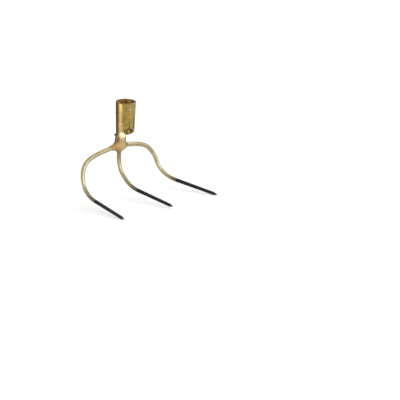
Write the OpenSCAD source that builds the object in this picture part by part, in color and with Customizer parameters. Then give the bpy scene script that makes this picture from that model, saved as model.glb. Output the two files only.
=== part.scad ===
// Three-prong hoe head: a rolled socket on a forged neck that carries three bent tines.
// Millimetres. The origin is the centre of the socket's mouth and +Z runs out of it along the
// handle, the tines point towards -Y and the tool is the same on both sides of X = 0,
// apart from the seam of the socket.

/* [Socket] */
// Diameter of the parallel seat for the handle, inside the mouth
seat_d = 31.2; // [28:0.2:34]
// Length of that seat
seat_len = 20; // [12:1:30]
// Thickness of the rolled sheet
wall = 2.4; // [1.8:0.1:3]
// Draw-in of the outside on each side, in degrees
socket_taper = 2; // [0:0.1:3]
// Width of the seam at the mouth, where the rolled edges nearly meet
seam_gap = 0.2; // [0.2:0.1:1]
// Width of the seam at its lower end
seam_open = 0.6; // [0.4:0.1:2]
// How far the seam lies from the front, turned towards the left tine, in degrees
seam_turn = 20; // [0:1:40]
// Mouth to the cut edge at the seam
cut_front = 44; // [36:1:54]
// Mouth to the cut edge opposite the seam
cut_back = 64; // [60:1:76]
// How much lower the cut edge runs at the flanks than a flat cut would
cut_sag = 4.5; // [0:0.5:6]
// Diameter of the nail hole in the rear wall
nail_d = 4.6; // [3:0.2:6]
// Mouth to the nail hole
nail_depth = 14; // [9:1:20]

/* [Neck] */
// Width of the neck from side to side
neck_w = 22; // [17:0.5:26]
// Thickness of the neck from front to back
neck_t = 15.5; // [12:0.5:18]
// Socket's rear edge down to the middle of the hub, where the arms start
neck_len = 19.5; // [16:0.5:28]
// How far the neck stands proud of the socket's rear wall
neck_proud = 2.3; // [1:0.1:3]
// Lean of the neck towards the back, in degrees
neck_lean = 3; // [0:1:12]
// Rear edge of the socket up to the top of the tongue inside it
tongue_len = 18; // [12:1:24]
// Thickness of the tongue at its top: its front slopes out from there to the neck's
tongue_t = 11; // [9:0.5:12]
// Width of the hub from the end of one stub to the end of the other
hub_w = 35; // [30:1:44]
// Middle of the hub down to the end of the crotch, where the centre tine starts
crotch_len = 14; // [12:1:20]

/* [Tines] */
// Distance between the outer tips
tip_spread = 237; // [190:1:290]
// Socket's axis to the centre tip, forwards
reach = 120; // [96:1:146]
// How far the outer tips stay behind the centre tip
outer_setback = 5; // [0:1:15]
// Mouth to the centre tip, downwards
tip_depth = 166; // [150:1:200]
// How far the outer tips lie below the centre tip
outer_fall = 2; // [0:1:8]
// Diameter of the outer tines at the neck
root_d = 8.9; // [7.6:0.1:10.6]
// Diameter of a tine where its blackened point starts
joint_d = 6.7; // [5.6:0.1:7.4]
// Diameter of a tine where its sharpening starts
end_d = 5.9; // [4.8:0.1:6.6]
// Length of a blackened point
point_len = 86; // [70:1:90]
// Length of the sharpening
sharp_len = 10; // [6:0.5:16]
// Thickness left at the very tip
tip_t = 1; // [0.6:0.1:2]

/* [Bends] */
// The bent line of a tine runs inside the corners given here
// Middle of the hub back to the arms' roots in it
root_back = 2.6; // [0:0.2:4]
// Middle of the hub back to the plane in which the elbows and shoulders lie
bow_back = 6.4; // [4:0.2:8]
// Distance between the elbows of the two arms
elbow_spread = 109; // [90:1:140]
// Middle of the hub down to the elbows
elbow_fall = 5.5; // [0:0.5:10]
// Distance between the shoulders of the outer tines
shoulder_spread = 180; // [150:1:210]
// Middle of the hub down to those shoulders
shoulder_fall = 24; // [16:1:32]
// Middle of the hub down to the shoulder of the centre tine
centre_shoulder_fall = 36; // [28:0.5:42]
// Distance between the knees of the outer tines
knee_spread = 196; // [160:1:234]
// Shoulders forwards to the knees of the outer tines
knee_front = 17; // [10:1:26]
// Shoulder forwards to the knee of the centre tine
centre_knee_front = 32.5; // [24:0.5:40]
// Centre tip up to the knees of all three
knee_rise = 13.5; // [8:0.5:22]

/* [Welds] */
// Size of the bead on the socket's rear edge
bead_d = 5; // [3:0.2:6]
// Middle of that bead outside the socket's wall
bead_out = 1.5; // [0:0.25:2]
// Length of the fillet from the hub's stub onto each arm
fillet_len = 6; // [4:0.5:10]
// How far that fillet stands proud of the arm at the stub
fillet_h = 0.8; // [0.4:0.2:2]
// Diameter of the tack that closes the seam
tack_d = 6.4; // [4:0.2:8]
// Mouth to the tack
tack_depth = 11.5; // [8:0.5:16]

/* [Hidden] */
$fn = 96;
gold = [0.74, 0.60, 0.33];
bronze = [0.70, 0.50, 0.28];
black = [0.13, 0.12, 0.12];
// Play left between pieces that are fitted to each other
fit_gap = 0.05;
// Bevel on the outer edge of the mouth
mouth_bevel = 0.5;
// How far the bead runs past the neck on each side, in degrees
bead_over = 16;
// Thickness of a fillet where it runs out on the arm
run_out = 0.15;
// Sides of a bar's cross-section, which the neck shares, and rings along one bend
bar_sides = 24;
bend_steps = 10;
// Sides of the bead's cross-section, rings along it, how bluntly its ends round off, and
// the share of its size that is left there
bead_sides = 12;
bead_steps = 18;
bead_blunt = 0.3;
bead_least = 0.4;
// Rings along a fillet, and the share of its length that starts inside the stub
fillet_steps = 8;
fillet_lead = 0.6;
// Squareness of the neck's section: 2 is an ellipse
neck_square = 2.5;
// Height of the tongue's rounded top
tongue_top = 6;
// Socket's rear edge down to the lower end of the tongue's sloping front
slope_end = 2;
// Height of the flare from the neck out to the hub
flare = 10;
// How long the hub holds its width before it draws down to the centre tine: 1 is an even S
hub_hold = 1.45;
// How far the stubs follow the arms back: 1 is all the way
hub_sweep = 0.4;
// Metal of the hub behind the arms' roots
hub_cover = 1;
// Larger than the whole part
far = 400;

socket_r = seat_d / 2 + wall;
hub_depth = cut_back + neck_len;
hub_y = neck_y(hub_depth);
root_y = hub_y + root_back;
bow_y = hub_y + bow_back;
knee_depth = tip_depth - knee_rise;
tongue_depth = cut_back - tongue_len;
// Lower end of the uncut sheet
sheet_end = cut_back + 5;

// Outer and inner radius of the socket at a depth below the mouth
function outer_r(depth) = socket_r - depth * tan(socket_taper);
function inner_r(depth) = outer_r(depth) - wall;

// Middle of the neck at a depth below the mouth
function neck_y(depth) =
    outer_r(cut_back) + neck_proud - neck_t / 2 + (depth - cut_back) * tan(neck_lean);

function unit(v) = v / norm(v);
function mix(a, b, t) = a * (1 - t) + b * t;
function square_to(v, d) = unit(v - d * (v * d));

// Corners of the bent tines; side is -1 for the left and 1 for the right one
centre_root = [0, hub_y, -hub_depth];
centre_shoulder = [0, bow_y, -(hub_depth + centre_shoulder_fall)];
centre_knee = [0, bow_y - centre_knee_front, -knee_depth];
centre_tip = [0, -reach, -tip_depth];
outer_root = [0, root_y, -hub_depth];
function elbow(side) = [side * elbow_spread / 2, bow_y, -(hub_depth + elbow_fall)];
function outer_shoulder(side) = [side * shoulder_spread / 2, bow_y, -(hub_depth + shoulder_fall)];
function outer_knee(side) = [side * knee_spread / 2, bow_y - knee_front, -knee_depth];
function outer_tip(side) = [side * tip_spread / 2, outer_setback - reach, -(tip_depth + outer_fall)];

// Where the blackened point is joined on, between the knee and the tip
function joint(knee, tip) = tip - point_len * unit(tip - knee);

// Place and direction a share t of the way round the bend from a towards b, then to c
function on_bend(a, b, c, t) = [mix(mix(a, b, t), mix(b, c, t), t), unit(mix(b - a, c - b, t))];

// Line of [place, direction] pairs from the first corner to the last, which touches each
// leg between two inner corners at its middle; start is a share of its first bend
function bent(corners, start = 0) =
    let (last = len(corners) - 1)
    [for (i = [1:last - 1])
        let (
            a = i == 1 ? corners[0] : mix(corners[i - 1], corners[i], 0.5),
            c = i == last - 1 ? corners[last] : mix(corners[i], corners[i + 1], 0.5),
            from = i == 1 ? start : 0
        )
        for (k = [i == 1 ? 0 : 1:bend_steps])
        on_bend(a, corners[i], c, mix(from, 1, k / bend_steps))
    ];

centre_line = bent(
    [centre_root, centre_shoulder, centre_knee, joint(centre_knee, centre_tip)],
    crotch_len / 2 / norm(centre_shoulder - centre_root)
);
function outer_line(side) = bent([
    outer_root,
    elbow(side),
    outer_shoulder(side),
    outer_knee(side),
    joint(outer_knee(side), outer_tip(side))
]);

// Length of a line up to its pair number n
function run(line, n) = n == 0 ? 0 : norm(line[n][0] - line[n - 1][0]) + run(line, n - 1);

// Radius of a bar at a distance before its joint: all three are drawn down at the same rate
outer_length = run(outer_line(1), len(outer_line(1)) - 1);
centre_length = run(centre_line, len(centre_line) - 1);
function bar_r(distance) = mix(joint_d, root_d, distance / outer_length) / 2;

// Direction across a line at each pair, carried along it without twist
function across(line, first) = [
    for (
        i = 0, v = square_to(first, line[0][1]);
        i < len(line);
        i = i + 1, v = i < len(line) ? square_to(v, line[i][1]) : v
    ) v
];

// Round rings about a line, one radius for each pair. The first point of a ring is on top on
// a line that sets off sideways, and at the back on any other.
function tube_rings(line, radii, sides = bar_sides) =
    let (a = across(line, abs(line[0][1][0]) > 0.5 ? [0, 0, 1] : [0, 1, 0]))
    [for (i = [0:len(line) - 1])
        let (b = cross(line[i][1], a[i]))
        [for (k = [0:sides - 1])
            let (turn = 360 * k / sides)
            line[i][0] + radii[i] * (cos(turn) * a[i] + sin(turn) * b)]
    ];

// Solid skin over rings of points, closed flat at both ends
module skin(rings) {
    n = len(rings[0]);
    last = len(rings) - 1;
    sides = [
        for (i = [0:last - 1], k = [0:n - 1])
            let (a = i * n + k, b = i * n + (k + 1) % n)
            each [[a, a + n, b], [b, a + n, b + n]]
    ];
    ends = [[for (k = [0:n - 1]) k], [for (k = [n - 1:-1:0]) last * n + k]];
    polyhedron(points = [for (r = rings) each r], faces = concat(sides, ends));
}

// Bar along a line that starts at a distance before the bar's joint
module bar(line, distance) {
    skin(tube_rings(line, [for (i = [0:len(line) - 1]) bar_r(distance - run(line, i))]));
}

// Full cone inside the sheet, made smaller by gap
module socket_inside(gap) {
    translate([0, 0, -sheet_end])
        cylinder(h = sheet_end, r1 = inner_r(sheet_end) - gap, r2 = inner_r(0) - gap);
}

// Everything below the cut edge of the sheet. The sheet was cut straight while it was flat,
// so the edge falls on both sides of the seam like a gable.
module below_cut() {
    tilt = atan((cut_back - cut_front) / 2 / outer_r(cut_back));
    eaves = -far * cut_sag / outer_r(cut_back);
    translate([0, 0, -(cut_front + cut_back) / 2])
        rotate([0, 0, -seam_turn])
        rotate([90 - tilt, 0, 0])
        linear_extrude(far, center = true)
        polygon([[0, 0], [far, eaves], [far, -far], [-far, -far], [-far, eaves]]);
}

// Rolled sheet: parallel seat at the mouth, even wall below it, slanting cut at the lower end
module socket() {
    color(gold)
    difference() {
        rotate_extrude()
            polygon([
                [seat_d / 2, 0],
                [socket_r - mouth_bevel, 0],
                [outer_r(mouth_bevel), -mouth_bevel],
                [outer_r(sheet_end), -sheet_end],
                [inner_r(sheet_end), -sheet_end],
                [inner_r(seat_len), -seat_len],
                [seat_d / 2, -seat_len]
            ]);
        below_cut();
        // Seam
        rotate([0, 0, -seam_turn])
            rotate([90, 0, 0])
            linear_extrude(far)
            polygon([
                [-seam_gap / 2, 1],
                [seam_gap / 2, 1],
                [seam_open / 2, -cut_front],
                [0, -sheet_end],
                [-seam_open / 2, -cut_front]
            ]);
        // Nail hole
        translate([0, 0, -nail_depth])
            rotate([-90, 0, 0])
            cylinder(h = far, d = nail_d);
    }
}

// S-curve from 0 to 1
function ease(share) = (1 - cos(180 * share)) / 2;

// Superellipse at a depth: middle, width and thickness. swept is how far its two ends lie
// behind its middle.
function neck_ring(depth, y, w, t, swept = 0) = [
    for (k = [0:bar_sides - 1])
        let (
            s = sin(360 * k / bar_sides),
            c = cos(360 * k / bar_sides),
            power = 2 / neck_square
        )
        [
            w / 2 * sign(s) * pow(abs(s), power),
            y + swept * s * s + t / 2 * sign(c) * pow(abs(c), power),
            -depth
        ]
];

// Forging before the bed for the sheet is cut in it: a tongue with a rounded top and a
// sloping front, an even stem, a hub that flares out into a stub for each arm and is swept
// back with them, and a crotch that draws down to the centre tine
module neck_blank() {
    crotch = centre_line[0][0];
    crotch_r = bar_r(centre_length);
    // The hub reaches from the front of the stem to behind the arms' roots
    hub_front = hub_y - neck_t / 2;
    hub_t = root_y + root_d / 2 + hub_cover - hub_front;
    hub_mid = hub_front + hub_t / 2;
    arm_y = on_bend(outer_root, elbow(1), outer_shoulder(1), hub_w / elbow_spread / 2)[0][1];
    swept = hub_sweep * (arm_y - hub_mid);
    slope_depth = cut_back + slope_end;
    tongue_back = (neck_t - tongue_t) / 2;
    skin(concat(
        [for (k = [0:3])
            let (depth = tongue_depth + tongue_top * (1 - cos(30 * k)), part = (1 + sin(30 * k)) / 2)
            neck_ring(depth, neck_y(depth) + tongue_back, part * neck_w, part * tongue_t)],
        [neck_ring(slope_depth, neck_y(slope_depth), neck_w, neck_t)],
        [for (k = [0:5])
            let (depth = hub_depth - flare * (1 - k / 6), part = ease(k / 6))
            neck_ring(
                depth,
                mix(neck_y(depth), hub_mid, part),
                mix(neck_w, hub_w, part),
                mix(neck_t, hub_t, part),
                swept * part)],
        [for (k = [0:8])
            let (share = k / 9, part = ease(pow(share, hub_hold)))
            neck_ring(
                mix(hub_depth, -crotch[2], share),
                mix(hub_mid, crotch[1], part),
                mix(hub_w, 2 * crotch_r, part),
                mix(hub_t, 2 * crotch_r, part),
                mix(swept, 0, part))],
        tube_rings([centre_line[0]], [crotch_r])
    ));
}

// Forging with its bed: the tongue goes up inside the sheet, the shoulder stands under its edge
module neck() {
    color(gold)
    difference() {
        neck_blank();
        difference() {
            translate([0, 0, -far / 2]) cylinder(h = far, r = far / 2);
            socket_inside(fit_gap);
            below_cut();
        }
    }
}

module centre_tine() {
    color(gold) bar(centre_line, centre_length);
}

module outer_tine(side) {
    color(gold)
    difference() {
        bar(outer_line(side), outer_length);
        neck_blank();
    }
}

module left_tine() {
    outer_tine(-1);
}

module right_tine() {
    outer_tine(1);
}

// Puts its children at a, with their +Z towards b and their -X upwards
module along(a, b) {
    d = unit(b - a);
    translate(a) rotate([0, acos(d[2]), atan2(d[1], d[0])]) children();
}

// Straight tapered end with a four-sided point
module point(knee, tip) {
    color(black)
    along(joint(knee, tip), tip)
    difference() {
        cylinder(h = point_len, d1 = joint_d, d2 = mix(joint_d, end_d, point_len / (point_len - sharp_len)));
        // Bevels that leave a small square end on the axis
        for (turn = [0:90:270])
            rotate([0, 0, turn])
            translate([tip_t / 2, 0, point_len])
            rotate([0, -atan((end_d - tip_t) / 2 / sharp_len), 0])
            translate([0, -far / 2, -far / 2])
            cube(far);
    }
}

module centre_point() {
    point(centre_knee, centre_tip);
}

module left_point() {
    point(outer_knee(-1), outer_tip(-1));
}

module right_point() {
    point(outer_knee(1), outer_tip(1));
}

// Middle of the bead at a turn round from the seam, a little above the sheet's cut edge
function edge_point(turn) =
    let (
        r = outer_r(cut_back),
        depth = (cut_front + cut_back) / 2 - (cut_back - cut_front) / 2 * cos(turn)
            + cut_sag * abs(sin(turn)) - bead_d / 4,
        out = r + bead_out
    )
    [-out * sin(turn + seam_turn), -out * cos(turn + seam_turn), -depth];

// Bead on the outside of the sheet's rear edge, a little wider than the neck
module socket_weld() {
    back = 180 - seam_turn;
    spread = asin(neck_w / 2 / outer_r(cut_back)) + bead_over;
    places = [for (i = [0:bead_steps]) edge_point(back + spread * (2 * i / bead_steps - 1))];
    line = [for (i = [0:bead_steps])
        [places[i], unit(places[min(i + 1, bead_steps)] - places[max(i - 1, 0)])]];
    radii = [for (i = [0:bead_steps])
        bead_d / 2 * max(bead_least, pow(sin(180 * i / bead_steps), bead_blunt))];
    color(bronze)
    difference() {
        skin(tube_rings(line, radii, bead_sides));
        neck();
        socket();
        socket_inside(0);
    }
}

// Tack that holds the rolled edges together near the mouth
module seam_weld() {
    sunk = tack_d / 4;
    color(bronze)
    difference() {
        rotate([0, 0, -seam_turn])
            translate([0, sunk - outer_r(tack_depth), -tack_depth])
            sphere(d = tack_d);
        socket();
        translate([0, 0, -far / 2]) cylinder(h = far, d = seat_d + 2 * fit_gap);
    }
}

// Hollow-sided ring of weld round an arm where it leaves its stub: it starts inside the
// stub and runs out on the arm
module outer_weld(side) {
    line = outer_line(side);
    // How far along the fillet each of its rings lies
    shares = [for (i = [0:fillet_steps]) mix(-fillet_lead, 1, i / fillet_steps)];
    distances = [for (u = shares) hub_w / 2 + u * fillet_len];
    arm = norm(elbow(side) - outer_root);
    middle = mix(elbow(side), outer_shoulder(side), 0.5);
    color(bronze)
    difference() {
        skin(tube_rings(
            [for (d = distances) on_bend(outer_root, elbow(side), middle, d / 2 / arm)],
            [for (i = [0:fillet_steps])
                bar_r(outer_length - distances[i]) + run_out + fillet_h * pow(1 - max(0, shares[i]), 2)]
        ));
        neck_blank();
        bar([for (i = [0:bend_steps]) line[i]], outer_length);
    }
}

module left_weld() {
    outer_weld(-1);
}

module right_weld() {
    outer_weld(1);
}

socket();
neck();
centre_tine();
left_tine();
right_tine();
centre_point();
left_point();
right_point();
socket_weld();
seam_weld();
left_weld();
right_weld();
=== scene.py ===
"""Three-prong hoe head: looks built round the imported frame, in metres.

The sizes repeat part.scad's, in millimetres, and each mesh is scaled to metres when it is made.
"""

import math

import bmesh
import bpy
import numpy as np
from mathutils import Matrix, Vector, noise


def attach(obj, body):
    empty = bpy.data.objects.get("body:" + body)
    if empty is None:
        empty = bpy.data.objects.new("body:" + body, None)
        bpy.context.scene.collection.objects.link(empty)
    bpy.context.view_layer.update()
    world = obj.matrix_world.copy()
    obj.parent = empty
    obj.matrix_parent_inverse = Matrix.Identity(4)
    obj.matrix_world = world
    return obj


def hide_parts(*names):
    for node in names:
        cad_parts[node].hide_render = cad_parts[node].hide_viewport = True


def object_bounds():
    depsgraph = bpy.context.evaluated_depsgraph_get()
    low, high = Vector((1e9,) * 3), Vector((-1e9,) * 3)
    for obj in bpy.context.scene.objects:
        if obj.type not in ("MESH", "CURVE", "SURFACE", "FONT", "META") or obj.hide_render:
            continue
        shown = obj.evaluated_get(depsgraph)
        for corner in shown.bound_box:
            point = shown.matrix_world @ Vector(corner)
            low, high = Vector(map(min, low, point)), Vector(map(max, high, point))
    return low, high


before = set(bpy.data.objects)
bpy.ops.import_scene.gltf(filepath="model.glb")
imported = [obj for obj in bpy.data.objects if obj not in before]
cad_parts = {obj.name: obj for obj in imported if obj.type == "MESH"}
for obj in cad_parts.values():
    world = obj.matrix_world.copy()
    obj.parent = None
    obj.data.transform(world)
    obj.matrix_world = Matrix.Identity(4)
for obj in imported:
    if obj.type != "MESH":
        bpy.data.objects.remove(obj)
cad_box = [list(map(float, corner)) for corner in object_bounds()]

MM = 0.001

# Sizes of part.scad, in mm and degrees

# Socket: the handle's seat, the sheet, and the draw-in of its outside on each side
SEAT_D = 31.2
SEAT_LEN = 20.0
WALL = 2.4
TAPER = 2.0
# Its seam, turned from the front towards the left tine
SEAM_GAP = 0.2
SEAM_TURN = 20.0
# Mouth to the cut edge at the seam and opposite it, and how much lower the flanks hang
CUT_FRONT = 44.0
CUT_BACK = 64.0
CUT_SAG = 4.5
NAIL_D = 4.6
NAIL_DEPTH = 14.0

# Neck: section, length down to the middle of the hub, stand behind the socket, lean
NECK_W = 22.0
NECK_T = 15.5
NECK_LEN = 19.5
NECK_PROUD = 2.3
NECK_LEAN = 3.0
# Squareness of its section: 2 is an ellipse
NECK_SQUARE = 2.5
# Tongue inside the sheet: length, rounded top, thickness there, lower end of its slope
TONGUE_LEN = 18.0
TONGUE_TOP = 6.0
TONGUE_T = 11.0
SLOPE_END = 2.0
# Hub: width, height of the flare above it, how long it holds its width, how far it is swept
# back with the arms, metal behind their roots, and the crotch below it
HUB_W = 35.0
FLARE = 10.0
HUB_HOLD = 1.45
HUB_SWEEP = 0.4
HUB_COVER = 1.0
CROTCH_LEN = 14.0
# Play between the neck's bed and the sheet
FIT_GAP = 0.05

# Places of the tips, from the socket's axis and mouth
TIP_SPREAD = 237.0
REACH = 120.0
OUTER_SETBACK = 5.0
TIP_DEPTH = 166.0
OUTER_FALL = 2.0
# Diameters of an outer tine at the neck, at its black point and where its sharpening starts
ROOT_D = 8.9
JOINT_D = 6.7
END_D = 5.9
# Black point: length, sharpening, thickness left at the tip
POINT_LEN = 86.0
SHARP_LEN = 10.0
TIP_T = 1.0
# Corners of the bent lines, from the hub, the shoulders and the centre tip
ROOT_BACK = 2.6
BOW_BACK = 6.4
ELBOW_SPREAD = 109.0
ELBOW_FALL = 5.5
SHOULDER_SPREAD = 180.0
SHOULDER_FALL = 24.0
CENTRE_SHOULDER_FALL = 36.0
KNEE_SPREAD = 196.0
KNEE_FRONT = 17.0
CENTRE_KNEE_FRONT = 32.5
KNEE_RISE = 13.5

# Welds: bead along the socket's rear edge, fillets on the arms, tack on the seam
BEAD_D = 5.0
BEAD_OUT = 1.5
BEAD_OVER = 16.0
FILLET_LEN = 6.0
FILLET_H = 0.8
FILLET_LEAD = 0.6
TACK_D = 6.4
TACK_DEPTH = 11.5

SOCKET_R = SEAT_D / 2 + WALL
HUB_DEPTH = CUT_BACK + NECK_LEN
TONGUE_DEPTH = CUT_BACK - TONGUE_LEN
KNEE_DEPTH = TIP_DEPTH - KNEE_RISE


# Small helpers
def sind(degrees):
    return math.sin(math.radians(degrees))


def cosd(degrees):
    return math.cos(math.radians(degrees))


def tand(degrees):
    return math.tan(math.radians(degrees))


def vec(*v):
    return np.array(v, float)


def unit(v):
    return v / np.linalg.norm(v)


def mix(a, b, t):
    return a * (1 - t) + b * t


def smooth(t):
    """S-curve from 0 to 1, level outside them."""
    t = min(1.0, max(0.0, t))
    return t * t * (3 - 2 * t)


def ease(share):
    """Half wave from 0 to 1."""
    return (1 - cosd(180 * share)) / 2


def soft_min(values, size):
    """Least of the values with its corner rounded over about size."""
    least = values[0]
    for value in values[1:]:
        near = max(size - abs(least - value), 0.0) / size
        least = min(least, value) - near * near * size / 4
    return least


def bumps(p, width, seed):
    """Smooth noise from -1 to 1 about a place in mm, with swells of that width."""
    return noise.noise(Vector((p[0] / width + seed, p[1] / width - seed, p[2] / width + 2 * seed)))


def relief(p, swells, sunk):
    """How far a surface stands out at a place: its (height, width, seed) swells less sunk."""
    return sum(height * bumps(p, width, seed) for height, width, seed in swells) - sunk


# Radii of the socket and middle of the neck at a depth below the mouth
def outer_r(depth):
    return SOCKET_R - depth * tand(TAPER)


def inner_r(depth):
    return outer_r(depth) - WALL


def neck_y(depth):
    return outer_r(CUT_BACK) + NECK_PROUD - NECK_T / 2 + (depth - CUT_BACK) * tand(NECK_LEAN)


HUB_Y = neck_y(HUB_DEPTH)
ROOT_Y = HUB_Y + ROOT_BACK
BOW_Y = HUB_Y + BOW_BACK

# The bent lines of the tines; side is -1 for the left and 1 for the right one
BEND_STEPS = 40
CENTRE_ROOT = vec(0, HUB_Y, -HUB_DEPTH)
CENTRE_SHOULDER = vec(0, BOW_Y, -(HUB_DEPTH + CENTRE_SHOULDER_FALL))
CENTRE_KNEE = vec(0, BOW_Y - CENTRE_KNEE_FRONT, -KNEE_DEPTH)
CENTRE_TIP = vec(0, -REACH, -TIP_DEPTH)
OUTER_ROOT = vec(0, ROOT_Y, -HUB_DEPTH)


def elbow(side):
    return vec(side * ELBOW_SPREAD / 2, BOW_Y, -(HUB_DEPTH + ELBOW_FALL))


def outer_shoulder(side):
    return vec(side * SHOULDER_SPREAD / 2, BOW_Y, -(HUB_DEPTH + SHOULDER_FALL))


def outer_knee(side):
    return vec(side * KNEE_SPREAD / 2, BOW_Y - KNEE_FRONT, -KNEE_DEPTH)


def outer_tip(side):
    return vec(side * TIP_SPREAD / 2, OUTER_SETBACK - REACH, -(TIP_DEPTH + OUTER_FALL))


def joint(knee, tip):
    """Where the black point starts, between the knee and the tip."""
    return tip - POINT_LEN * unit(tip - knee)


def on_bend(a, b, c, t):
    """Place and direction a share t of the way round the bend from a towards b, then to c."""
    return mix(mix(a, b, t), mix(b, c, t), t), unit(mix(b - a, c - b, t))


def bent(corners, start=0.0):
    """Places and directions of the bent line inside the corners; start is a share of the
    first bend."""
    pairs = []
    last = len(corners) - 1
    for i in range(1, last):
        a = corners[0] if i == 1 else mix(corners[i - 1], corners[i], 0.5)
        c = corners[last] if i == last - 1 else mix(corners[i], corners[i + 1], 0.5)
        begin = start if i == 1 else 0.0
        for k in range(0 if i == 1 else 1, BEND_STEPS + 1):
            pairs.append(on_bend(a, corners[i], c, mix(begin, 1.0, k / BEND_STEPS)))
    places, ways = zip(*pairs)
    return np.array(places), np.array(ways)


def runs(places):
    """Length of a line up to each of its places."""
    return np.r_[0, np.cumsum(np.linalg.norm(np.diff(places, axis=0), axis=1))]


def outer_line(side):
    return bent([
        OUTER_ROOT, elbow(side), outer_shoulder(side), outer_knee(side),
        joint(outer_knee(side), outer_tip(side)),
    ])


CENTRE_LINE = bent(
    [CENTRE_ROOT, CENTRE_SHOULDER, CENTRE_KNEE, joint(CENTRE_KNEE, CENTRE_TIP)],
    CROTCH_LEN / 2 / np.linalg.norm(CENTRE_SHOULDER - CENTRE_ROOT),
)
OUTER_LENGTH = runs(outer_line(1)[0])[-1]
CENTRE_LENGTH = runs(CENTRE_LINE[0])[-1]


def bar_r(distance):
    """Radius of a bar at a distance before its black point."""
    return mix(JOINT_D, ROOT_D, distance / OUTER_LENGTH) / 2


# Meshes
CRISP_ANGLE = 40


def new_piece(name, points, faces, along=None):
    """A closed, smooth piece from points in mm. along, in mm, is kept with each point for its
    material."""
    mesh = bpy.data.meshes.new(name)
    mesh.from_pydata([tuple(float(c) * MM for c in p) for p in points], [], faces)
    mesh.update()
    if along is not None:
        layer = mesh.attributes.new("along", "FLOAT", "POINT")
        layer.data.foreach_set("value", np.asarray(along, np.float32))
    obj = bpy.data.objects.new(name, mesh)
    bpy.context.scene.collection.objects.link(obj)
    shade(mesh)
    face_outward(mesh)
    return obj


def shade(mesh):
    """Smooth shading, with edges sharper than the angle kept crisp."""
    mesh.validate()
    for poly in mesh.polygons:
        poly.use_smooth = True
    mesh.set_sharp_from_angle(angle=math.radians(CRISP_ANGLE))
    mesh.update()


def face_outward(mesh):
    """Turns the faces of a closed mesh outwards."""
    bm = bmesh.new()
    bm.from_mesh(mesh)
    bmesh.ops.recalc_face_normals(bm, faces=bm.faces)
    bm.to_mesh(mesh)
    bm.free()
    mesh.update()


def grid_faces(n_rings, n_sides):
    """Faces between rings of points, with the first and the last ring closed."""
    faces = []
    for i in range(n_rings - 1):
        for k in range(n_sides):
            a, b = i * n_sides + k, i * n_sides + (k + 1) % n_sides
            faces.append((a, b, b + n_sides, a + n_sides))
    faces.append(tuple(range(n_sides - 1, -1, -1)))
    faces.append(tuple((n_rings - 1) * n_sides + k for k in range(n_sides)))
    return faces


def across(ways):
    """Direction across a line for each of its directions, carried along without twist."""
    v = vec(0, 0, 1) if abs(ways[0][0]) > 0.5 else vec(0, 1, 0)
    carried = []
    for way in ways:
        v = unit(v - way * np.dot(v, way))
        carried.append(v)
    return carried


def sweep(name, places, ways, radii, sides, along=None, rough=None):
    """Round bar along a line. radii has one radius, or one for each side, at each place, and
    rough(place) adds to them."""
    points = []
    for place, way, radius, a in zip(places, ways, radii, across(ways)):
        b = np.cross(way, a)
        for k, r in enumerate(np.broadcast_to(radius, sides)):
            turn = 360 * k / sides
            out = cosd(turn) * a + sind(turn) * b
            p = place + r * out
            if rough:
                p = p + rough(p) * out
            points.append(p)
    values = None if along is None else np.repeat(along, sides)
    return new_piece(name, points, grid_faces(len(places), sides), values)


def carve(obj, cutter):
    """Takes the cutter's space out of obj and removes the cutter."""
    mod = obj.modifiers.new("carve", "BOOLEAN")
    mod.operation = "DIFFERENCE"
    mod.solver = "EXACT"
    mod.object = cutter
    bpy.context.view_layer.update()
    deps = bpy.context.evaluated_depsgraph_get()
    carved = bpy.data.meshes.new_from_object(obj.evaluated_get(deps))
    obj.modifiers.clear()
    whole = obj.data
    obj.data = carved
    carved.name = whole.name
    bpy.data.meshes.remove(whole)
    bpy.data.objects.remove(cutter)
    shade(carved)
    return obj


# Socket

# Width of the seam as it shows, and of the notch where it meets the cut
SEAM_LINE = 0.1
SEAM_NOTCH = 2.0
# The notch opens over this length, which starts this far above the cut
NOTCH_LEN = 6.0
NOTCH_RISE = 5.0
# Depth whose radii set the cut edge inside and outside
CUT_LEVEL = 55.0
# Rolled edges at the seam: radius, and steps from the edge into the sheet
EDGE_R = 0.4
EDGE_STEPS = [0.0, 0.06, 0.14, 0.24, EDGE_R]
# Steps round the sheet, and where they end before the second rolled edge
SHEET_STEPS = 260
SHEET_END = 0.5
# How far the sheet springs out at the seam, and over which turn to each side
SPRING = 0.14
SPRING_TURN = 16.0
# Ragged cut: height in mm, width in degrees and seeds of its swells
RAGGED = [(0.30, 9.0, 0.3, 0.7), (0.14, 2.7, 4.3, 0.2)]
# Points round each corner of the sheet's section
CORNER_STEPS = 5
# Rise of the ledge at the seat's end, from its inner corner to the seat
LEDGE_RISE = 0.001
# Cutter of the nail hole, countersunk outside and eased inside: how much larger its radius is
# than the hole's, at how far out from the sheet's outer and inner face
NAIL_SIDES = 64
NAIL_OUTSIDE = [(1.2, 3.5), (0.35, 0.1), (0.0, -0.35)]
NAIL_INSIDE = [(0.0, 0.2), (0.15, -0.05), (0.4, -1.5)]


def cut_depth(turn, r):
    """Depth of the sheet's lower edge at a turn, in degrees, round from the seam."""
    tilt = (CUT_BACK - CUT_FRONT) / 2 / outer_r(CUT_BACK)
    sag = CUT_SAG / outer_r(CUT_BACK) / math.cos(math.atan(tilt))
    return (CUT_FRONT + CUT_BACK) / 2 - r * cosd(turn) * tilt + sag * abs(r * sind(turn))


def towards(turn):
    """Level direction at a turn round from the seam."""
    return vec(-sind(turn + SEAM_TURN), -cosd(turn + SEAM_TURN), 0)


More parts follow.
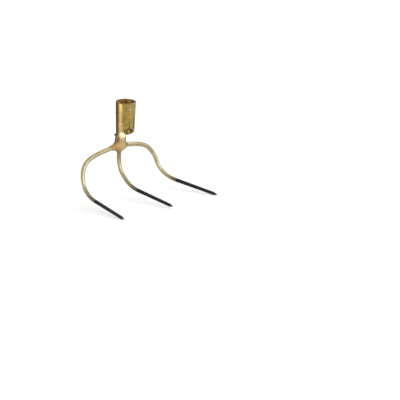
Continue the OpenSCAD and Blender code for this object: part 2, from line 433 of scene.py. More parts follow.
def rounded_loop(corners):
    """Closed loop of (radius, depth) through corners, each with a radius, a depth, a rounding
    and the number of segments in the side that follows it."""
    loop = []
    for i, (r, depth, rounding, segments) in enumerate(corners):
        next_r, next_depth, next_rounding, _ = corners[(i + 1) % len(corners)]
        here, after = vec(r, depth), vec(next_r, next_depth)
        back, on = unit(vec(*corners[i - 1][:2]) - here), unit(after - here)
        a, b = here + back * rounding, here + on * rounding
        for k in range(CORNER_STEPS + 1):
            t = k / CORNER_STEPS
            loop.append(mix(mix(a, here, t), mix(here, b, t), t))
        end = after - on * next_rounding
        loop += [mix(b, end, k / segments) for k in range(1, segments)]
    return loop


def sheet_section(turn, inset):
    """Loop of (radius, depth) round the sheet's section, smaller by inset on every side."""
    ragged = sum(height * noise.noise(Vector((turn / width, *seeds)))
                 for height, width, *seeds in RAGGED)
    cut_out = cut_depth(turn, outer_r(CUT_LEVEL)) - inset + ragged
    cut_in = cut_depth(turn, inner_r(CUT_LEVEL)) - inset + ragged
    return rounded_loop([
        (SEAT_D / 2 + inset, inset, 0.15, 4),
        (SOCKET_R - inset, inset, 0.55, 60),
        (outer_r(cut_out) - inset, cut_out, 0.45, 3),
        (inner_r(cut_in) + inset, cut_in, 0.25, 40),
        (inner_r(SEAT_LEN) + inset, SEAT_LEN, 0.2, 2),
        (SEAT_D / 2 + inset, SEAT_LEN - LEDGE_RISE, 0.2, 20),
    ])


def nail_cutter():
    profile = [(wider, outer_r(NAIL_DEPTH) + out) for wider, out in NAIL_OUTSIDE]
    profile += [(wider, SEAT_D / 2 + out) for wider, out in NAIL_INSIDE]
    points = []
    for wider, y in profile:
        r = NAIL_D / 2 + wider
        for k in range(NAIL_SIDES):
            turn = 360 * k / NAIL_SIDES
            points.append(vec(r * cosd(turn), y, r * sind(turn) - NAIL_DEPTH))
    return new_piece("nail_cutter", points, grid_faces(len(profile), NAIL_SIDES))


def make_socket():
    """Rolled sheet with a parallel seat, a nearly closed seam, a ragged cut and a nail hole."""
    total = 2 * math.pi * SOCKET_R - SEAM_GAP
    spans = [*EDGE_STEPS, *np.linspace(EDGE_R, total - SHEET_END, SHEET_STEPS + 1)[1:]]
    spans += [total - step for step in reversed(EDGE_STEPS)]
    points = []
    for span in spans:
        from_edge = min(span, total - span)
        inset = EDGE_R - math.sqrt(EDGE_R ** 2 - max(0.0, EDGE_R - from_edge) ** 2)
        share = span / total
        turn = share * 360.0
        spring = SPRING * (1 - smooth(min(turn, 360 - turn) / SPRING_TURN))
        for r, depth in sheet_section(turn, inset):
            open_share = smooth((depth - CUT_FRONT + NOTCH_RISE) / NOTCH_LEN)
            half_gap = math.degrees(math.asin(mix(SEAM_LINE, SEAM_NOTCH, open_share) / 2 / r))
            way = towards(half_gap + (360 - 2 * half_gap) * share)
            points.append(way * (r + spring) - vec(0, 0, depth))
    faces = grid_faces(len(spans), len(points) // len(spans))
    return carve(new_piece("rolled_socket", points, faces), nail_cutter())


# Neck

NECK_SIDES = 96
DOME_RINGS = 16
SLOPE_RINGS = 34
FLARE_RINGS = 30
CROTCH_RINGS = 45
# Width of the tongue's very top as a share of the neck's, and how round its dome is
DOME_TOP = 0.25
DOME_ROUND = 0.75
# How softly the sloping front runs out into the stem
SLOPE_SOFT = 0.004
# The crotch is round after this share of its height
ROUND_AFTER = 1 / 1.2
NECK_SWELLS = [(0.14, 9.0, 3.1), (0.03, 3.0, 8.2)]
NECK_SUNK = 0.18
# Cutter for the sheet's bed: sides, how far out it reaches and how far above the mouth
BED_SIDES = 180
BED_REACH = 60.0
BED_RISE = 5.0


def neck_ring(depth, y, w, t, swept=0.0, square=NECK_SQUARE):
    """Superellipse at a depth. swept is how far its two ends lie behind its middle."""
    ring = []
    for k in range(NECK_SIDES):
        s, c = sind(360 * k / NECK_SIDES), cosd(360 * k / NECK_SIDES)
        ring.append(vec(
            w / 2 * math.copysign(abs(s) ** (2 / square), s),
            y + swept * s * s + t / 2 * math.copysign(abs(c) ** (2 / square), c),
            -depth))
    return ring


def neck_rings():
    """Tongue with its dome and sloping front, stem, hub flared out to the arms, and crotch."""
    crotch = CENTRE_LINE[0][0]
    crotch_r = bar_r(CENTRE_LENGTH)
    hub_front = HUB_Y - NECK_T / 2
    hub_t = ROOT_Y + ROOT_D / 2 + HUB_COVER - hub_front
    hub_mid = hub_front + hub_t / 2
    arm_y = on_bend(OUTER_ROOT, elbow(1), outer_shoulder(1), HUB_W / ELBOW_SPREAD / 2)[0][1]
    swept = HUB_SWEEP * (arm_y - hub_mid)
    top = TONGUE_DEPTH + TONGUE_TOP
    slope = CUT_BACK + SLOPE_END
    rings = []
    for k in range(DOME_RINGS):
        turn = 90 * k / DOME_RINGS
        depth = TONGUE_DEPTH + TONGUE_TOP * (1 - cosd(turn))
        part = mix(DOME_TOP, 1.0, sind(turn) ** DOME_ROUND)
        rings.append(neck_ring(
            depth, neck_y(depth) + (NECK_T - TONGUE_T) / 2, part * NECK_W, part * TONGUE_T))
    for k in range(SLOPE_RINGS):
        depth = mix(top, HUB_DEPTH - FLARE, k / SLOPE_RINGS)
        lean = (slope - depth) / (slope - top)
        lean = 0.5 * (lean + math.sqrt(lean * lean + SLOPE_SOFT))
        t = NECK_T - (NECK_T - TONGUE_T) * lean
        rings.append(neck_ring(depth, neck_y(depth) + (NECK_T - t) / 2, NECK_W, t))
    for k in range(FLARE_RINGS):
        share = k / FLARE_RINGS
        part = ease(share)
        depth = HUB_DEPTH - FLARE * (1 - share)
        rings.append(neck_ring(
            depth, mix(neck_y(depth), hub_mid, part), mix(NECK_W, HUB_W, part),
            mix(NECK_T, hub_t, part), swept * part))
    for k in range(CROTCH_RINGS + 1):
        share = k / CROTCH_RINGS
        part = ease(share ** HUB_HOLD)
        rings.append(neck_ring(
            mix(HUB_DEPTH, -crotch[2], share), mix(hub_mid, crotch[1], part),
            mix(HUB_W, 2 * crotch_r, part), mix(hub_t, 2 * crotch_r, part),
            mix(swept, 0, part), mix(NECK_SQUARE, 2.0, smooth(share / ROUND_AFTER))))
    return rings


def bed_cutter():
    """What lies outside the sheet's inner wall and above its cut edge."""
    loops = ((True, True), (True, False), (False, False), (False, True))
    points = []
    for inner, top in loops:
        for k in range(BED_SIDES):
            turn = 360 * k / BED_SIDES
            edge_r = inner_r(CUT_LEVEL) if inner else BED_REACH
            depth = -BED_RISE if top else cut_depth(turn, edge_r)
            r = inner_r(depth) - FIT_GAP if inner else BED_REACH
            points.append(towards(turn) * r - vec(0, 0, depth))
    faces = []
    for i in range(len(loops)):
        for k in range(BED_SIDES):
            after, on = (i + 1) % len(loops) * BED_SIDES, (k + 1) % BED_SIDES
            faces.append((i * BED_SIDES + k, i * BED_SIDES + on, after + on, after + k))
    return new_piece("bed_cutter", points, faces)


def make_neck():
    """Forging, slightly hammered, with the bed for the sheet cut in it."""
    rings = neck_rings()
    points = []
    for ring in rings:
        middle = np.mean(ring, axis=0)
        points += [p + unit(p - middle) * relief(p, NECK_SWELLS, NECK_SUNK) for p in ring]
    neck = new_piece("forged_neck", points, grid_faces(len(rings), NECK_SIDES))
    return carve(neck, bed_cutter())


# Tines

BAR_SIDES = 48
BAR_SWELLS = [(0.03, 9.0, 1.7), (0.012, 2.2, 5.5)]
BAR_SUNK = 0.02
# An arm is thinner where the hub and its weld cover it, up to this far from its root
COVERED_THINNER = 0.9
COVERED_LEN = 13.5
COVERED_RUN_OUT = 3.0


def make_tine(name, line, length, thinner=0.0, fade=1.0):
    """A tine. Its lacquer darkens towards the black point, the faster the larger fade is."""
    places, ways = line
    from_root = runs(places)
    before = length - from_root
    radii = [bar_r(b) - thinner * (1 - smooth((s - COVERED_LEN) / COVERED_RUN_OUT))
             for b, s in zip(before, from_root)]
    return sweep(name, places, ways, radii, BAR_SIDES, along=before * fade,
                 rough=lambda p: relief(p, BAR_SWELLS, BAR_SUNK))


# Points

POINT_SIDES = 72
POINT_RINGS = 60
SHARP_RINGS = 50
# The close rings start this far before the sharpening, and the wide ones end there
SHARP_START = 0.6
POINT_RINGS_END = 1.0
# Narrow step where the bar's lacquer ends, and rounding of the four edges
BORDER_STEP = 0.10
BORDER_LEN = 0.35
EDGE_ROUNDING = 0.12
POINT_SWELLS = [(0.05, 6.0, 2.2), (0.03, 1.6, 7.7)]
POINT_SUNK = 0.03
# Least number to divide by
TINY = 1e-6


def make_point(name, knee, tip):
    """Straight black point with a four-sided sharpening."""
    start = joint(knee, tip)
    way = unit(tip - start)
    up = unit(vec(0, 0, 1) - way * way[2])
    side = np.cross(way, up)
    shank = POINT_LEN - SHARP_LEN
    stations = [*np.linspace(0, shank - POINT_RINGS_END, POINT_RINGS),
                *np.linspace(shank - SHARP_START, POINT_LEN, SHARP_RINGS)]
    points = []
    for s in stations:
        r = mix(JOINT_D, END_D, s / shank) / 2 - BORDER_STEP * (1 - smooth(s / BORDER_LEN))
        half = mix(TIP_T, END_D, (POINT_LEN - s) / SHARP_LEN) / 2
        for k in range(POINT_SIDES):
            c, n = cosd(360 * k / POINT_SIDES), sind(360 * k / POINT_SIDES)
            out = up * c + side * n
            flats = [half / max(abs(c), TINY), half / max(abs(n), TINY)]
            p = start + way * s + out * soft_min([r, *flats], EDGE_ROUNDING)
            points.append(p + out * relief(p, POINT_SWELLS, POINT_SUNK))
    return new_piece(name, points, grid_faces(len(stations), POINT_SIDES))


# Welds

BEAD_STEPS = 150
BEAD_SIDES = 36
# How bluntly the bead's ends round off, and how little of its size is left there
BEAD_BLUNT = 0.3
BEAD_LEAST = 0.03
# Radius of the bead below which its ripples fade out
BEAD_FADE = 2.0
# Share of its size that the bead has on average, and the swells of that share
BEAD_FILL = 0.93
BEAD_SWELLS = [(0.05, 4.0, 6.1)]
# Ripples of the welds: pitch, height, how far they bow, and how deep the bead's are sunk
BEAD_PITCH = 1.7
BEAD_RIPPLE = 0.16
BEAD_BOW = 0.9
BEAD_SUNK = 0.1
FILLET_PITCH = 1.5
FILLET_RIPPLE = 0.10
FILLET_BOW = 0.5
FILLET_STEPS = 60
FILLET_SIDES = 48
# The fillet covers the arm by this much and dives under its surface at the far end, just past
# its length, and its ripples fade out below this rise
FILLET_COVER = 0.1
FILLET_DIVE = 0.16
FILLET_END = 1.05
FILLET_FADE = 0.4
TACK_RINGS = 28
TACK_SIDES = 44
TACK_FILL = 0.95
# Its swells go by direction from its middle, so their width is a share of its radius
TACK_SWELLS = [(0.07, 0.8, 4.4)]
# Slanting ripples of the tack: height, and turns in radians from its middle up and across
TACK_RIPPLE = 0.08
TACK_UP = 9
TACK_ACROSS = 2


def ripple(distance, pitch, height):
    """Saw-tooth ripple that a weld leaves along its way."""
    return height * (distance / pitch % 1.0)


def edge_point(turn):
    """Middle of the bead at a turn round from the seam."""
    depth = (CUT_FRONT + CUT_BACK) / 2 - (CUT_BACK - CUT_FRONT) / 2 * cosd(turn)
    depth += CUT_SAG * abs(sind(turn)) - BEAD_D / 4
    return towards(turn) * (outer_r(CUT_BACK) + BEAD_OUT) - vec(0, 0, depth)


def make_bead():
    """Bead with ripples bowed back from the way the weld was laid."""
    back = 180 - SEAM_TURN
    spread = math.degrees(math.asin(NECK_W / 2 / outer_r(CUT_BACK))) + BEAD_OVER
    shares = np.linspace(0, 1, BEAD_STEPS + 1)
    places = np.array([edge_point(back + spread * (2 * share - 1)) for share in shares])
    ways = [unit(places[min(i + 1, BEAD_STEPS)] - places[max(i - 1, 0)])
            for i in range(BEAD_STEPS + 1)]
    bows = [BEAD_BOW * cosd(360 * k / BEAD_SIDES) for k in range(BEAD_SIDES)]
    radii = []
    for share, place, length in zip(shares, places, runs(places)):
        base = BEAD_D / 2 * max(BEAD_LEAST, sind(180 * share)) ** BEAD_BLUNT
        size = base * relief(place, BEAD_SWELLS, -BEAD_FILL)
        shown = min(1.0, base / BEAD_FADE)
        radii.append([size + shown * (ripple(length + bow, BEAD_PITCH, BEAD_RIPPLE) - BEAD_SUNK)
                      for bow in bows])
    return sweep("socket_bead", places, ways, radii, BEAD_SIDES)


def make_tack():
    """Uneven drop of weld metal on the seam."""
    middle = towards(0) * (outer_r(TACK_DEPTH) - TACK_D / 4) - vec(0, 0, TACK_DEPTH)
    points = []
    for i in range(1, TACK_RINGS):
        for k in range(TACK_SIDES):
            fall, turn = 180 * i / TACK_RINGS, 360 * k / TACK_SIDES
            out = vec(sind(fall) * cosd(turn), sind(fall) * sind(turn), cosd(fall))
            r = TACK_D / 2 * relief(out, TACK_SWELLS, -TACK_FILL)
            r += TACK_RIPPLE * math.sin(TACK_UP * out[2] + TACK_ACROSS * out[0])
            points.append(middle + out * r)
    return new_piece("seam_tack", points, grid_faces(TACK_RINGS - 1, TACK_SIDES))


def make_fillet(name, side):
    """Weld fillet that runs out along an arm from the hub's stub."""
    arm = np.linalg.norm(elbow(side) - OUTER_ROOT)
    middle = mix(elbow(side), outer_shoulder(side), 0.5)
    bows = [FILLET_BOW * sind(2 * 360 * k / FILLET_SIDES) for k in range(FILLET_SIDES)]
    places, ways, radii = [], [], []
    for share in np.linspace(-FILLET_LEAD, FILLET_END, FILLET_STEPS + 1):
        distance = HUB_W / 2 + share * FILLET_LEN
        place, way = on_bend(OUTER_ROOT, elbow(side), middle, distance / 2 / arm)
        places.append(place)
        ways.append(way)
        rise = FILLET_H * max(0.0, 1 - max(0.0, share)) ** 2
        base = bar_r(OUTER_LENGTH - distance) + rise + FILLET_COVER - FILLET_DIVE * smooth(share)
        shown = min(1.0, rise / FILLET_FADE)
        radii.append([base + shown * ripple(distance + bow, FILLET_PITCH, FILLET_RIPPLE)
                      for bow in bows])
    return sweep(name, places, ways, radii, FILLET_SIDES)


# Materials

class Nodes:
    """Short calls for building a node material."""

    def __init__(self, name):
        self.mat = bpy.data.materials.new(name)
        self.mat.use_nodes = True
        self.tree = self.mat.node_tree
        self.tree.nodes.clear()
        out = self.tree.nodes.new("ShaderNodeOutputMaterial")
        self.shader = self.tree.nodes.new("ShaderNodeBsdfPrincipled")
        self.tree.links.new(self.shader.outputs["BSDF"], out.inputs["Surface"])

    def put(self, target, value):
        if hasattr(value, "links"):
            self.tree.links.new(value, target)
        else:
            target.default_value = value

    def set(self, **values):
        """Sets the shader's inputs, with _ for the spaces in their names."""
        for name, value in values.items():
            self.put(self.shader.inputs[name.replace("_", " ")], value)

    def node(self, kind, out=0, inputs=None, **settings):
        n = self.tree.nodes.new(kind)
        for key, value in settings.items():
            setattr(n, key, value)
        for key, value in (inputs or {}).items():
            self.put(n.inputs[key], value)
        return n.outputs[out]

    def position(self):
        """Place on the piece, in metres."""
        return self.node("ShaderNodeTexCoord", out="Object")

    def axes(self):
        """X, Y and Z of the place on the piece, in metres."""
        split = self.tree.nodes.new("ShaderNodeSeparateXYZ")
        self.tree.links.new(self.position(), split.inputs[0])
        return split.outputs

    def noise(self, scale, detail=3.0, rough=0.55, distortion=0.0):
        """Noise from 0 to 1 about 0.5; scale is in swells per metre."""
        return self.node("ShaderNodeTexNoise", inputs={
            "Vector": self.position(), "Scale": scale, "Detail": detail,
            "Roughness": rough, "Distortion": distortion})

    def ramp(self, value, low, high, start=0.0, end=1.0):
        """Runs smoothly from start, where the value is low, to end, where it is high."""
        return self.node("ShaderNodeMapRange", interpolation_type="SMOOTHSTEP", inputs={
            "Value": value, "From Min": low, "From Max": high, "To Min": start, "To Max": end})

    def ramp_mm(self, value, low, high, start=0.0, end=1.0):
        """A ramp over a place in metres, with low and high in mm."""
        return self.ramp(value, low * MM, high * MM, start, end)

    def math(self, operation, a, b=0.0, clamp=False):
        return self.node("ShaderNodeMath", operation=operation, use_clamp=clamp, inputs={0: a, 1: b})

    def times(self, a, b):
        return self.math("MULTIPLY", a, b)

    def plus(self, a, b):
        return self.math("ADD", a, b)

    def minus(self, a, b):
        return self.math("SUBTRACT", a, b)

    def absolute(self, a):
        return self.math("ABSOLUTE", a)

    def swing(self, value, width):
        """A noise made to swing about 0 over that width."""
        return self.times(self.minus(value, 0.5), width)

    def colour(self, share, a, b):
        """Colour a with that share of colour b laid over it."""
        n = self.tree.nodes.new("ShaderNodeMix")
        n.data_type = "RGBA"
        self.put(n.inputs[0], share)
        self.put(n.inputs[6], a)
        self.put(n.inputs[7], b)
        return n.outputs[2]

    def bump(self, height, strength, distance, normal=None):
        inputs = {"Height": height, "Strength": strength, "Distance": distance}
        if normal is not None:
            inputs["Normal"] = normal
        return self.node("ShaderNodeBump", inputs=inputs)

    def pointiness(self):
        return self.node("ShaderNodeNewGeometry", out="Pointiness")

    def edges(self, patches, uneven):
        """1 on convex edges, which are broken up by the patches."""
        return self.ramp(self.plus(self.pointiness(), self.swing(patches, uneven)), 0.53, 0.60)

    def attribute(self, name):
        return self.node("ShaderNodeAttribute", out="Fac", attribute_name=name)


def rgb(r, g, b):
    """A colour as seen on screen, from 0 to 255, as linear light."""
    linear = []
    for c in (r, g, b):
        c /= 255
        linear.append(c / 12.92 if c <= 0.04045 else ((c + 0.055) / 1.055) ** 2.4)
    return (*linear, 1.0)


# The darker stretch and the thin worn line of a bar, in mm before its black point
BORDER_DARK = (0.0, 46.0)
BORDER_LINE = (-1.0, 3.0)


def lacquer(name, light, mid, dark, worn, metal=0.7, rough=0.33, tint=None, border=False,
            mottle=1.0, coat=0.0):
    """Gold lacquer over steel: clouded colour, fine speckle, peel, darker worn edges, and painted
    shade in hollows.

    tint(n, colour) adds a piece's own tones, painted highlights and painted shade, and says where the
    lacquer is thin, or None.
    border darkens a bar towards its black point, and mottle scales the speckle and the peel.
    """
    n = Nodes(name)
    clouds = n.noise(70, rough=0.6)
    patches = n.noise(260, detail=4.0, rough=0.62, distortion=0.4)
    speck = n.noise(1700, detail=2.0, rough=0.6)
    colour = n.colour(n.ramp(clouds, 0.36, 0.66), mid, light)
    colour = n.colour(n.ramp(patches, 0.52, 0.70, 0.0, 0.55 * mottle), colour, dark)
    colour = n.colour(n.ramp(speck, 0.60, 0.74, 0.0, 0.45 * mottle), colour, dark)
    thin = None
    if tint:
        colour, thin = tint(n, colour)
    if border:
        # In mm before the black point
        before = n.plus(n.attribute("along"), n.swing(n.noise(420), 10.0))
        colour = n.colour(n.ramp(before, *BORDER_DARK, 0.95, 0.0), colour, dark)
        colour = n.colour(n.ramp(before, *BORDER_LINE, 0.55, 0.0), colour, worn)
    edges = n.edges(patches, 0.10)
    colour = n.colour(n.times(edges, 0.75), colour, worn)
    # Painted shade: darker colour in hollows and inside corners, found by low pointiness
    painted_crease_shade = n.ramp(n.pointiness(), 0.47, 0.40)
    colour = n.colour(n.times(painted_crease_shade, 0.8), colour, dark)
    if thin is not None:
        metal = n.math("SUBTRACT", metal, n.times(thin, 0.5), clamp=True)
        rough = n.plus(rough, n.times(thin, 0.2))
    rough = n.plus(rough, n.swing(patches, 0.30 * mottle))
    rough = n.math("ADD", rough, n.times(edges, 0.12), clamp=True)
    peel = n.bump(n.noise(900, detail=2.0), 0.35 * mottle, 0.12 * MM)
    pits = n.bump(n.ramp(speck, 0.35, 0.55), 0.25, 0.06 * MM, peel)
    n.set(Base_Color=colour, Metallic=metal, Roughness=rough, Normal=pits,
          Coat_Weight=coat, Coat_Roughness=0.2)
    return n.mat


# Places of the tones, and of the painted highlights and painted shade, in mm. Each pair runs from
# where one has faded out to where it is full

# Neck: painted highlight on the tongue, and the level direction across the upright band of copper,
# with the band's middle, half width and height
TONGUE_HIGHLIGHT_Z = (-74.0, -69.0)
COPPER_SIDE = (0.683, -0.730)
COPPER_MIDDLE = -11.8
COPPER_HALF = (8.5, 4.5)
COPPER_Z = (-66.0, -74.0)
# Painted shade on its side flanks, and over what width their edges wander
SHADED_FLANK_X = (7.4, 10.4)
SHADED_FLANK_Z = (-80.0, -72.5)
SHADED_FLANK_WOBBLE = 3.5
# Brown at the top of the centre tine
BROWN_X = (7.0, 5.0)
BROWN_Z = (-122.0, -99.0)
# Sheet: its inside by radius, the painted highlight down the seam by distance from the seam's plane,
# rim and lip
INSIDE_R = (SOCKET_R - 0.8, SOCKET_R - 1.4)
SEAM_HIGHLIGHT_OFF = (3.0, 0.8)
SEAM_HIGHLIGHT_Y = (-8.0, -12.0)
SEAM_HIGHLIGHT_Z = (-36.0, -28.0)
RIM_Z = (-10.0, -1.5)
LIP_Z = (-1.2, -0.4)
# Place, size and colour of the marks that show inside the sheet: the two pale ones are painted
# highlights, the third a dark amber patch
INSIDE_HIGHLIGHTS_AND_MARKS = [
    ((13.1, 3.5, -58.4), 3.4, rgb(238, 222, 166)),
    ((15.0, 4.3, -4.1), 5.8, rgb(240, 208, 142)),
    ((10.8, 11.2, -5.7), 5.0, rgb(148, 100, 8)),
]


def hub_tones_and_painted_light(n, colour):
    """Painted highlight in a paler, creamier tone on the tongue, coppery hub at the front left, and
    painted shade on the flanks beside the bead.
    """
    x, y, z = n.axes()
    # Painted highlight: the tongue's front turns to a paler, creamier tone
    painted_tongue_highlight = n.times(n.ramp_mm(z, *TONGUE_HIGHLIGHT_Z), n.ramp(n.noise(170), 0.32, 0.60, 0.4, 0.8))
    colour = n.colour(painted_tongue_highlight, colour, rgb(206, 189, 146))
    side = n.plus(n.times(x, COPPER_SIDE[0]), n.times(y, COPPER_SIDE[1]))
    band = n.ramp_mm(n.absolute(n.minus(side, COPPER_MIDDLE * MM)), *COPPER_HALF)
    band = n.times(band, n.ramp_mm(z, *COPPER_Z))
    copper = n.times(band, n.ramp(n.noise(150), 0.30, 0.62, 0.35, 1.0))
    colour = n.colour(copper, colour, rgb(186, 145, 90))
    # Painted shade: the neck's side flanks are darker brown, and duller so they hold no highlight
    wobble = n.swing(n.noise(260), SHADED_FLANK_WOBBLE * MM)
    painted_flank_shade = n.ramp_mm(n.plus(n.absolute(x), wobble), *SHADED_FLANK_X)
    painted_flank_shade = n.times(painted_flank_shade, n.ramp_mm(n.plus(z, wobble), *SHADED_FLANK_Z))
    colour = n.colour(n.times(painted_flank_shade, 0.9), colour, rgb(128, 102, 54))
    return colour, n.math("ADD", n.times(copper, 0.4), n.times(painted_flank_shade, 0.8), clamp=True)


def root_tone(n, colour):
    """The hub's brown running down onto the top of the centre tine."""
    x, _, z = n.axes()
    centre = n.ramp_mm(n.absolute(x), *BROWN_X)
    share = n.times(centre, n.ramp_mm(z, *BROWN_Z, 0.0, 0.85))
    return n.colour(share, colour, rgb(164, 140, 98)), None


def mouth_tones_and_painted_light(n, colour):
    """Stained amber inside the sheet with painted highlights and a dark amber patch on it, a painted
    highlight in a pale olive line down the seam below the tack, a warm tone under the rim, and a dark
    lip."""
    x, y, z = n.axes()
    # Radius from the axis, as if the sheet had no taper
    radius = n.math("SQRT", n.plus(n.times(x, x), n.times(y, y)))
    radius = n.minus(radius, n.times(z, tand(TAPER)))
    inside = n.ramp_mm(radius, *INSIDE_R)
    amber = n.colour(n.ramp(n.noise(150), 0.42, 0.60), rgb(138, 102, 22), rgb(204, 172, 100))
    # Painted highlights, two pale spots, and a dark amber patch on the inside wall
    for place, size, tone in INSIDE_HIGHLIGHTS_AND_MARKS:
        off = n.node("ShaderNodeVectorMath", out="Value", operation="DISTANCE",
                     inputs={0: n.position(), 1: [c * MM for c in place]})
        off = n.plus(off, n.swing(n.noise(420), size * MM))
        amber = n.colour(n.ramp_mm(off, size, size * 0.4, 0.0, 0.9), amber, tone)
    colour = n.colour(inside, colour, amber)
    # Painted highlight: a pale olive line down the front of the seam, below the tack
    off_seam = n.absolute(n.minus(n.times(x, cosd(SEAM_TURN)), n.times(y, sind(SEAM_TURN))))
    painted_seam_highlight = n.times(n.ramp_mm(off_seam, *SEAM_HIGHLIGHT_OFF), n.ramp_mm(y, *SEAM_HIGHLIGHT_Y))
    painted_seam_highlight = n.times(painted_seam_highlight, n.ramp(n.noise(230), 0.36, 0.60, 0.25, 0.75))
    painted_seam_highlight = n.times(painted_seam_highlight, n.ramp_mm(z, *SEAM_HIGHLIGHT_Z))
    colour = n.colour(painted_seam_highlight, colour, rgb(176, 158, 84))
    rim = n.times(n.ramp_mm(z, *RIM_Z), n.ramp(n.noise(190), 0.42, 0.60))
    colour = n.colour(n.times(rim, 0.5), colour, rgb(172, 128, 76))
    lip = n.times(n.ramp_mm(z, *LIP_Z), 0.85)
    browns = n.colour(n.ramp(n.noise(240), 0.45, 0.6), rgb(84, 58, 14), rgb(136, 100, 40))
    colour = n.colour(lip, colour, browns)
    return colour, n.math("MAXIMUM", n.times(inside, 0.7), n.times(lip, 0.5))


def black_finish(name):
    """Hardened and blackened steel: patchy, finely specked, paler on worn edges."""
    n = Nodes(name)
    patches = n.noise(320, detail=4.0, rough=0.6)
    speck = n.noise(2100, detail=2.0, rough=0.6)
    colour = n.colour(n.ramp(patches, 0.38, 0.66), rgb(20, 18, 14), rgb(36, 33, 26))
    colour = n.colour(n.ramp(speck, 0.62, 0.78, 0.0, 0.6), colour, rgb(58, 54, 44))
    colour = n.colour(n.times(n.edges(patches, 0.08), 0.6), colour, rgb(84, 80, 74))
    n.set(Base_Color=colour, Metallic=0.0, Roughness=n.plus(0.48, n.swing(patches, 0.3)),
          Specular_IOR_Level=0.25, Normal=n.bump(n.noise(1100), 0.5, 0.15 * MM))
    return n.mat


def weld_finish(name, light, dark, metal=0.7):
    """Weld metal: rough and patchy, with painted shade in the hollows between its ripples."""
    n = Nodes(name)
    patches = n.noise(420, detail=4.0, rough=0.65, distortion=0.5)
    speck = n.noise(1500, detail=2.0, rough=0.6)
    colour = n.colour(n.ramp(patches, 0.36, 0.64), dark, light)
    colour = n.colour(n.ramp(speck, 0.58, 0.74, 0.0, 0.6), colour, dark)
    # Painted shade: darker colour in the hollows between the ripples, found by low pointiness
    painted_crease_shade = n.ramp(n.pointiness(), 0.49, 0.43)
    colour = n.colour(n.times(painted_crease_shade, 0.8), colour, rgb(58, 44, 26))
    n.set(Base_Color=colour, Metallic=metal, Roughness=n.plus(0.42, n.swing(patches, 0.35)),
          Normal=n.bump(n.noise(1200), 0.6, 0.2 * MM))
    return n.mat


sheet_gold = lacquer(
    "sheet_gold", rgb(166, 141, 72), rgb(141, 116, 46), rgb(98, 78, 24), rgb(82, 64, 30),
    tint=mouth_tones_and_painted_light, coat=0.4)
forged_gold = lacquer(
    "forged_gold", rgb(192, 170, 116), rgb(170, 146, 92), rgb(118, 95, 52), rgb(92, 72, 42),
    rough=0.38, tint=hub_tones_and_painted_light)
bar_gold = lacquer(
    "bar_gold", rgb(194, 182, 146), rgb(172, 158, 119), rgb(98, 88, 60), rgb(84, 75, 50),
    metal=0.75, rough=0.23, tint=root_tone, border=True, mottle=0.6)
point_black = black_finish("point_black")
bead_brown = weld_finish("bead_brown", rgb(126, 98, 58), rgb(70, 53, 30))
fillet_gold = weld_finish("fillet_gold", rgb(200, 176, 118), rgb(150, 124, 72))
# The tack's pale colours are partly its gold and partly a painted highlight
tack_gold_and_highlight = weld_finish("tack_gold_and_highlight", rgb(214, 196, 128), rgb(180, 158, 92), metal=0.4)


# The pieces

# How much faster the lacquer of each outer tine darkens towards its black point
FADE = {"left": 1.0, "right": 1.7}


def stand_in(obj, node, material):
    """The piece stands for that CAD node, on the head's one body."""
    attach(obj, "root")
    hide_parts(node)
    obj.data.materials.append(material)
    return obj


socket = stand_in(make_socket(), "socket", sheet_gold)
neck = stand_in(make_neck(), "neck", forged_gold)
centre = make_tine("centre_bar", CENTRE_LINE, CENTRE_LENGTH)
stand_in(centre, "centre_tine", bar_gold)
for word, side in (("left", -1), ("right", 1)):
    tine = make_tine(word + "_bar", outer_line(side), OUTER_LENGTH, COVERED_THINNER, FADE[word])
    stand_in(tine, word + "_tine", bar_gold)
    point = make_point(word + "_spike", outer_knee(side), outer_tip(side))
    stand_in(point, word + "_point", point_black)
    fillet = make_fillet(word + "_fillet", side)
    stand_in(fillet, word + "_weld", fillet_gold)
point = make_point("centre_spike", CENTRE_KNEE, CENTRE_TIP)
stand_in(point, "centre_point", point_black)
stand_in(make_bead(), "socket_weld", bead_brown)
stand_in(make_tack(), "seam_weld", tack_gold_and_highlight)


# Floor, light and camera, in metres and degrees

CAMERA_AZIMUTH = -46.94
CAMERA_ELEVATION = 16.0
CAMERA_ROLL = 1.7
# Width of the view at the object, and the middle of the picture from that of the mouth
VIEW_WIDTH = 0.7024
VIEW_RIGHT = 0.13003
VIEW_DOWN = 0.17332
LENS = 1500.0
SENSOR = 36.0
FLOOR_HALF = 9.0
FLOOR_DROP = 0.0002
FLOOR_TONE = 0.70
FLOOR_GLOW = 0.52
WORLD_LIGHT = 0.40
CARD_TONE = 0.01
# What the lamps aim at, and the same place as seen from above for the cards
LAMP_AIM = Vector((0, -0.03, -0.09))
CARD_MIDDLE = Vector((0, -0.03, 0))


def grey(tone):
    return (tone, tone, tone, 1.0)


def show_white(tree):
    """1 for the rays that see the background: the camera's, reflected and refracted ones."""
    path = tree.nodes.new("ShaderNodeLightPath")
    seen = path.outputs["Is Camera Ray"]
    for kind in ("Is Glossy Ray", "Is Transmission Ray"):
        either = tree.nodes.new("ShaderNodeMath")
        either.operation = "MAXIMUM"
        tree.links.new(seen, either.inputs[0])
        tree.links.new(path.outputs[kind], either.inputs[1])
        seen = either.outputs[0]
    return seen


def stage_face(name, corners, material):
    """One flat face that isn't part of the object."""
    mesh = bpy.data.meshes.new(name)
    mesh.from_pydata(corners, [], [(0, 1, 2, 3)])
    obj = bpy.data.objects.new(name, mesh)
    bpy.context.scene.collection.objects.link(obj)
    obj.data.materials.append(material)
    return obj


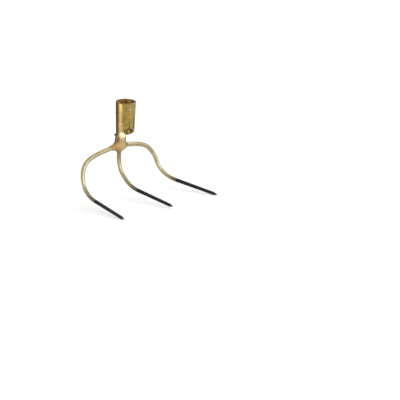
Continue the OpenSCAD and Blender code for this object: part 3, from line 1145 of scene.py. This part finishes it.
def make_floor():
    """Pale floor that shows about white and keeps a soft shadow."""
    z = cad_box[0][2] - FLOOR_DROP
    n = Nodes("floor_white")
    n.set(Base_Color=grey(FLOOR_TONE), Roughness=0.9, Specular_IOR_Level=0.1,
          Emission_Color=grey(1.0), Emission_Strength=n.times(show_white(n.tree), FLOOR_GLOW))
    signs = ((-1, -1), (1, -1), (1, 1), (-1, 1))
    stage_face("floor", [(i * FLOOR_HALF, j * FLOOR_HALF, z) for i, j in signs], n.mat)


def make_card(name, turn, distance, width, height):
    """Dark card that stands on the floor outside the view, to give the metal its dark edges."""
    azimuth = CAMERA_AZIMUTH + turn
    back = Vector((sind(azimuth), -cosd(azimuth), 0))
    half = Vector((cosd(azimuth), sind(azimuth), 0)) * (width / 2)
    foot = CARD_MIDDLE + back * distance + Vector((0, 0, cad_box[0][2]))
    top = Vector((0, 0, height))
    n = Nodes(name + "_black")
    n.set(Base_Color=grey(CARD_TONE), Roughness=1.0, Specular_IOR_Level=0.0)
    corners = [foot - half, foot + half, foot + half + top, foot - half + top]
    card = stage_face(name, corners, n.mat)
    card.visible_camera = False
    card.visible_diffuse = False
    card.visible_shadow = False


def lamp(name, turn, elevation, distance, width, height, level, gloss_on=None):
    """Soft lamp aimed at the head; turn is counted from the camera, to the right. level is how
    bright it lights a white surface that faces it. gloss_on is the collection of the only
    pieces that it lights, and then it shows in their gloss alone."""
    light = bpy.data.lights.new(name, "AREA")
    light.shape = "RECTANGLE"
    light.size = width
    light.size_y = height
    light.energy = level * math.pi ** 2 * distance ** 2
    obj = bpy.data.objects.new(name, light)
    bpy.context.scene.collection.objects.link(obj)
    azimuth = CAMERA_AZIMUTH + turn
    back = Vector((sind(azimuth) * cosd(elevation), -cosd(azimuth) * cosd(elevation), sind(elevation)))
    obj.location = LAMP_AIM + back * distance
    obj.rotation_euler = (-back).to_track_quat("-Z", "Y").to_euler()
    obj.visible_camera = False
    if gloss_on:
        obj.visible_diffuse = False
        obj.light_linking.receiver_collection = gloss_on


def make_world():
    """Soft even light, and a white background for the rays that see it."""
    world = bpy.data.worlds.new("studio")
    bpy.context.scene.world = world
    world.use_nodes = True
    tree = world.node_tree
    tree.nodes.clear()
    pick = tree.nodes.new("ShaderNodeMixShader")
    tree.links.new(show_white(tree), pick.inputs[0])
    for strength, target in ((WORLD_LIGHT, pick.inputs[1]), (1.0, pick.inputs[2])):
        background = tree.nodes.new("ShaderNodeBackground")
        background.inputs["Color"].default_value = grey(1.0)
        background.inputs["Strength"].default_value = strength
        tree.links.new(background.outputs[0], target)
    out = tree.nodes.new("ShaderNodeOutputWorld")
    tree.links.new(pick.outputs[0], out.inputs["Surface"])


def make_camera():
    """Long lens at the photograph's angle."""
    a, e, roll = CAMERA_AZIMUTH, CAMERA_ELEVATION, CAMERA_ROLL
    back = vec(sind(a) * cosd(e), -cosd(a) * cosd(e), sind(e))
    level = vec(cosd(a), sind(a), 0)
    above = np.cross(back, level)
    right = cosd(roll) * level + sind(roll) * above
    up = cosd(roll) * above - sind(roll) * level
    distance = VIEW_WIDTH * LENS / SENSOR
    place = VIEW_RIGHT * right - VIEW_DOWN * up + back * distance
    data = bpy.data.cameras.new("camera")
    data.lens = LENS
    data.sensor_width = SENSOR
    data.clip_start = 1.0
    data.clip_end = 3 * distance
    obj = bpy.data.objects.new("camera", data)
    bpy.context.scene.collection.objects.link(obj)
    rows = [(right[i], up[i], back[i], place[i]) for i in range(3)]
    obj.matrix_world = Matrix((*rows, (0, 0, 0, 1)))
    bpy.context.scene.camera = obj


# The two strips stand close, so they are kept off the tines
strip_lit = bpy.data.collections.new("strip_lit")
strip_lit.objects.link(socket)
strip_lit.objects.link(neck)

make_floor()
lamp("key", turn=42, elevation=24, distance=2.0, width=2.8, height=1.8, level=0.45)
lamp("strip_left", turn=-64.0, elevation=6.3, distance=0.25, width=0.165, height=0.125,
     level=0.39, gloss_on=strip_lit)
lamp("strip_right", turn=92, elevation=22, distance=0.8, width=0.60, height=0.60,
     level=0.75, gloss_on=strip_lit)
lamp("fill", turn=98, elevation=24, distance=1.6, width=1.0, height=1.0, level=0.12)
lamp("back_top", turn=165, elevation=38, distance=2.0, width=1.9, height=1.3, level=0.38)
make_card("flag_left", turn=-135, distance=0.27, width=0.40, height=0.16)
make_card("flag_right", turn=140, distance=0.27, width=0.34, height=0.06)
make_card("flag_back", turn=180, distance=0.60, width=0.90, height=0.40)
make_world()
make_camera()
bpy.context.scene.view_settings.view_transform = "Standard"
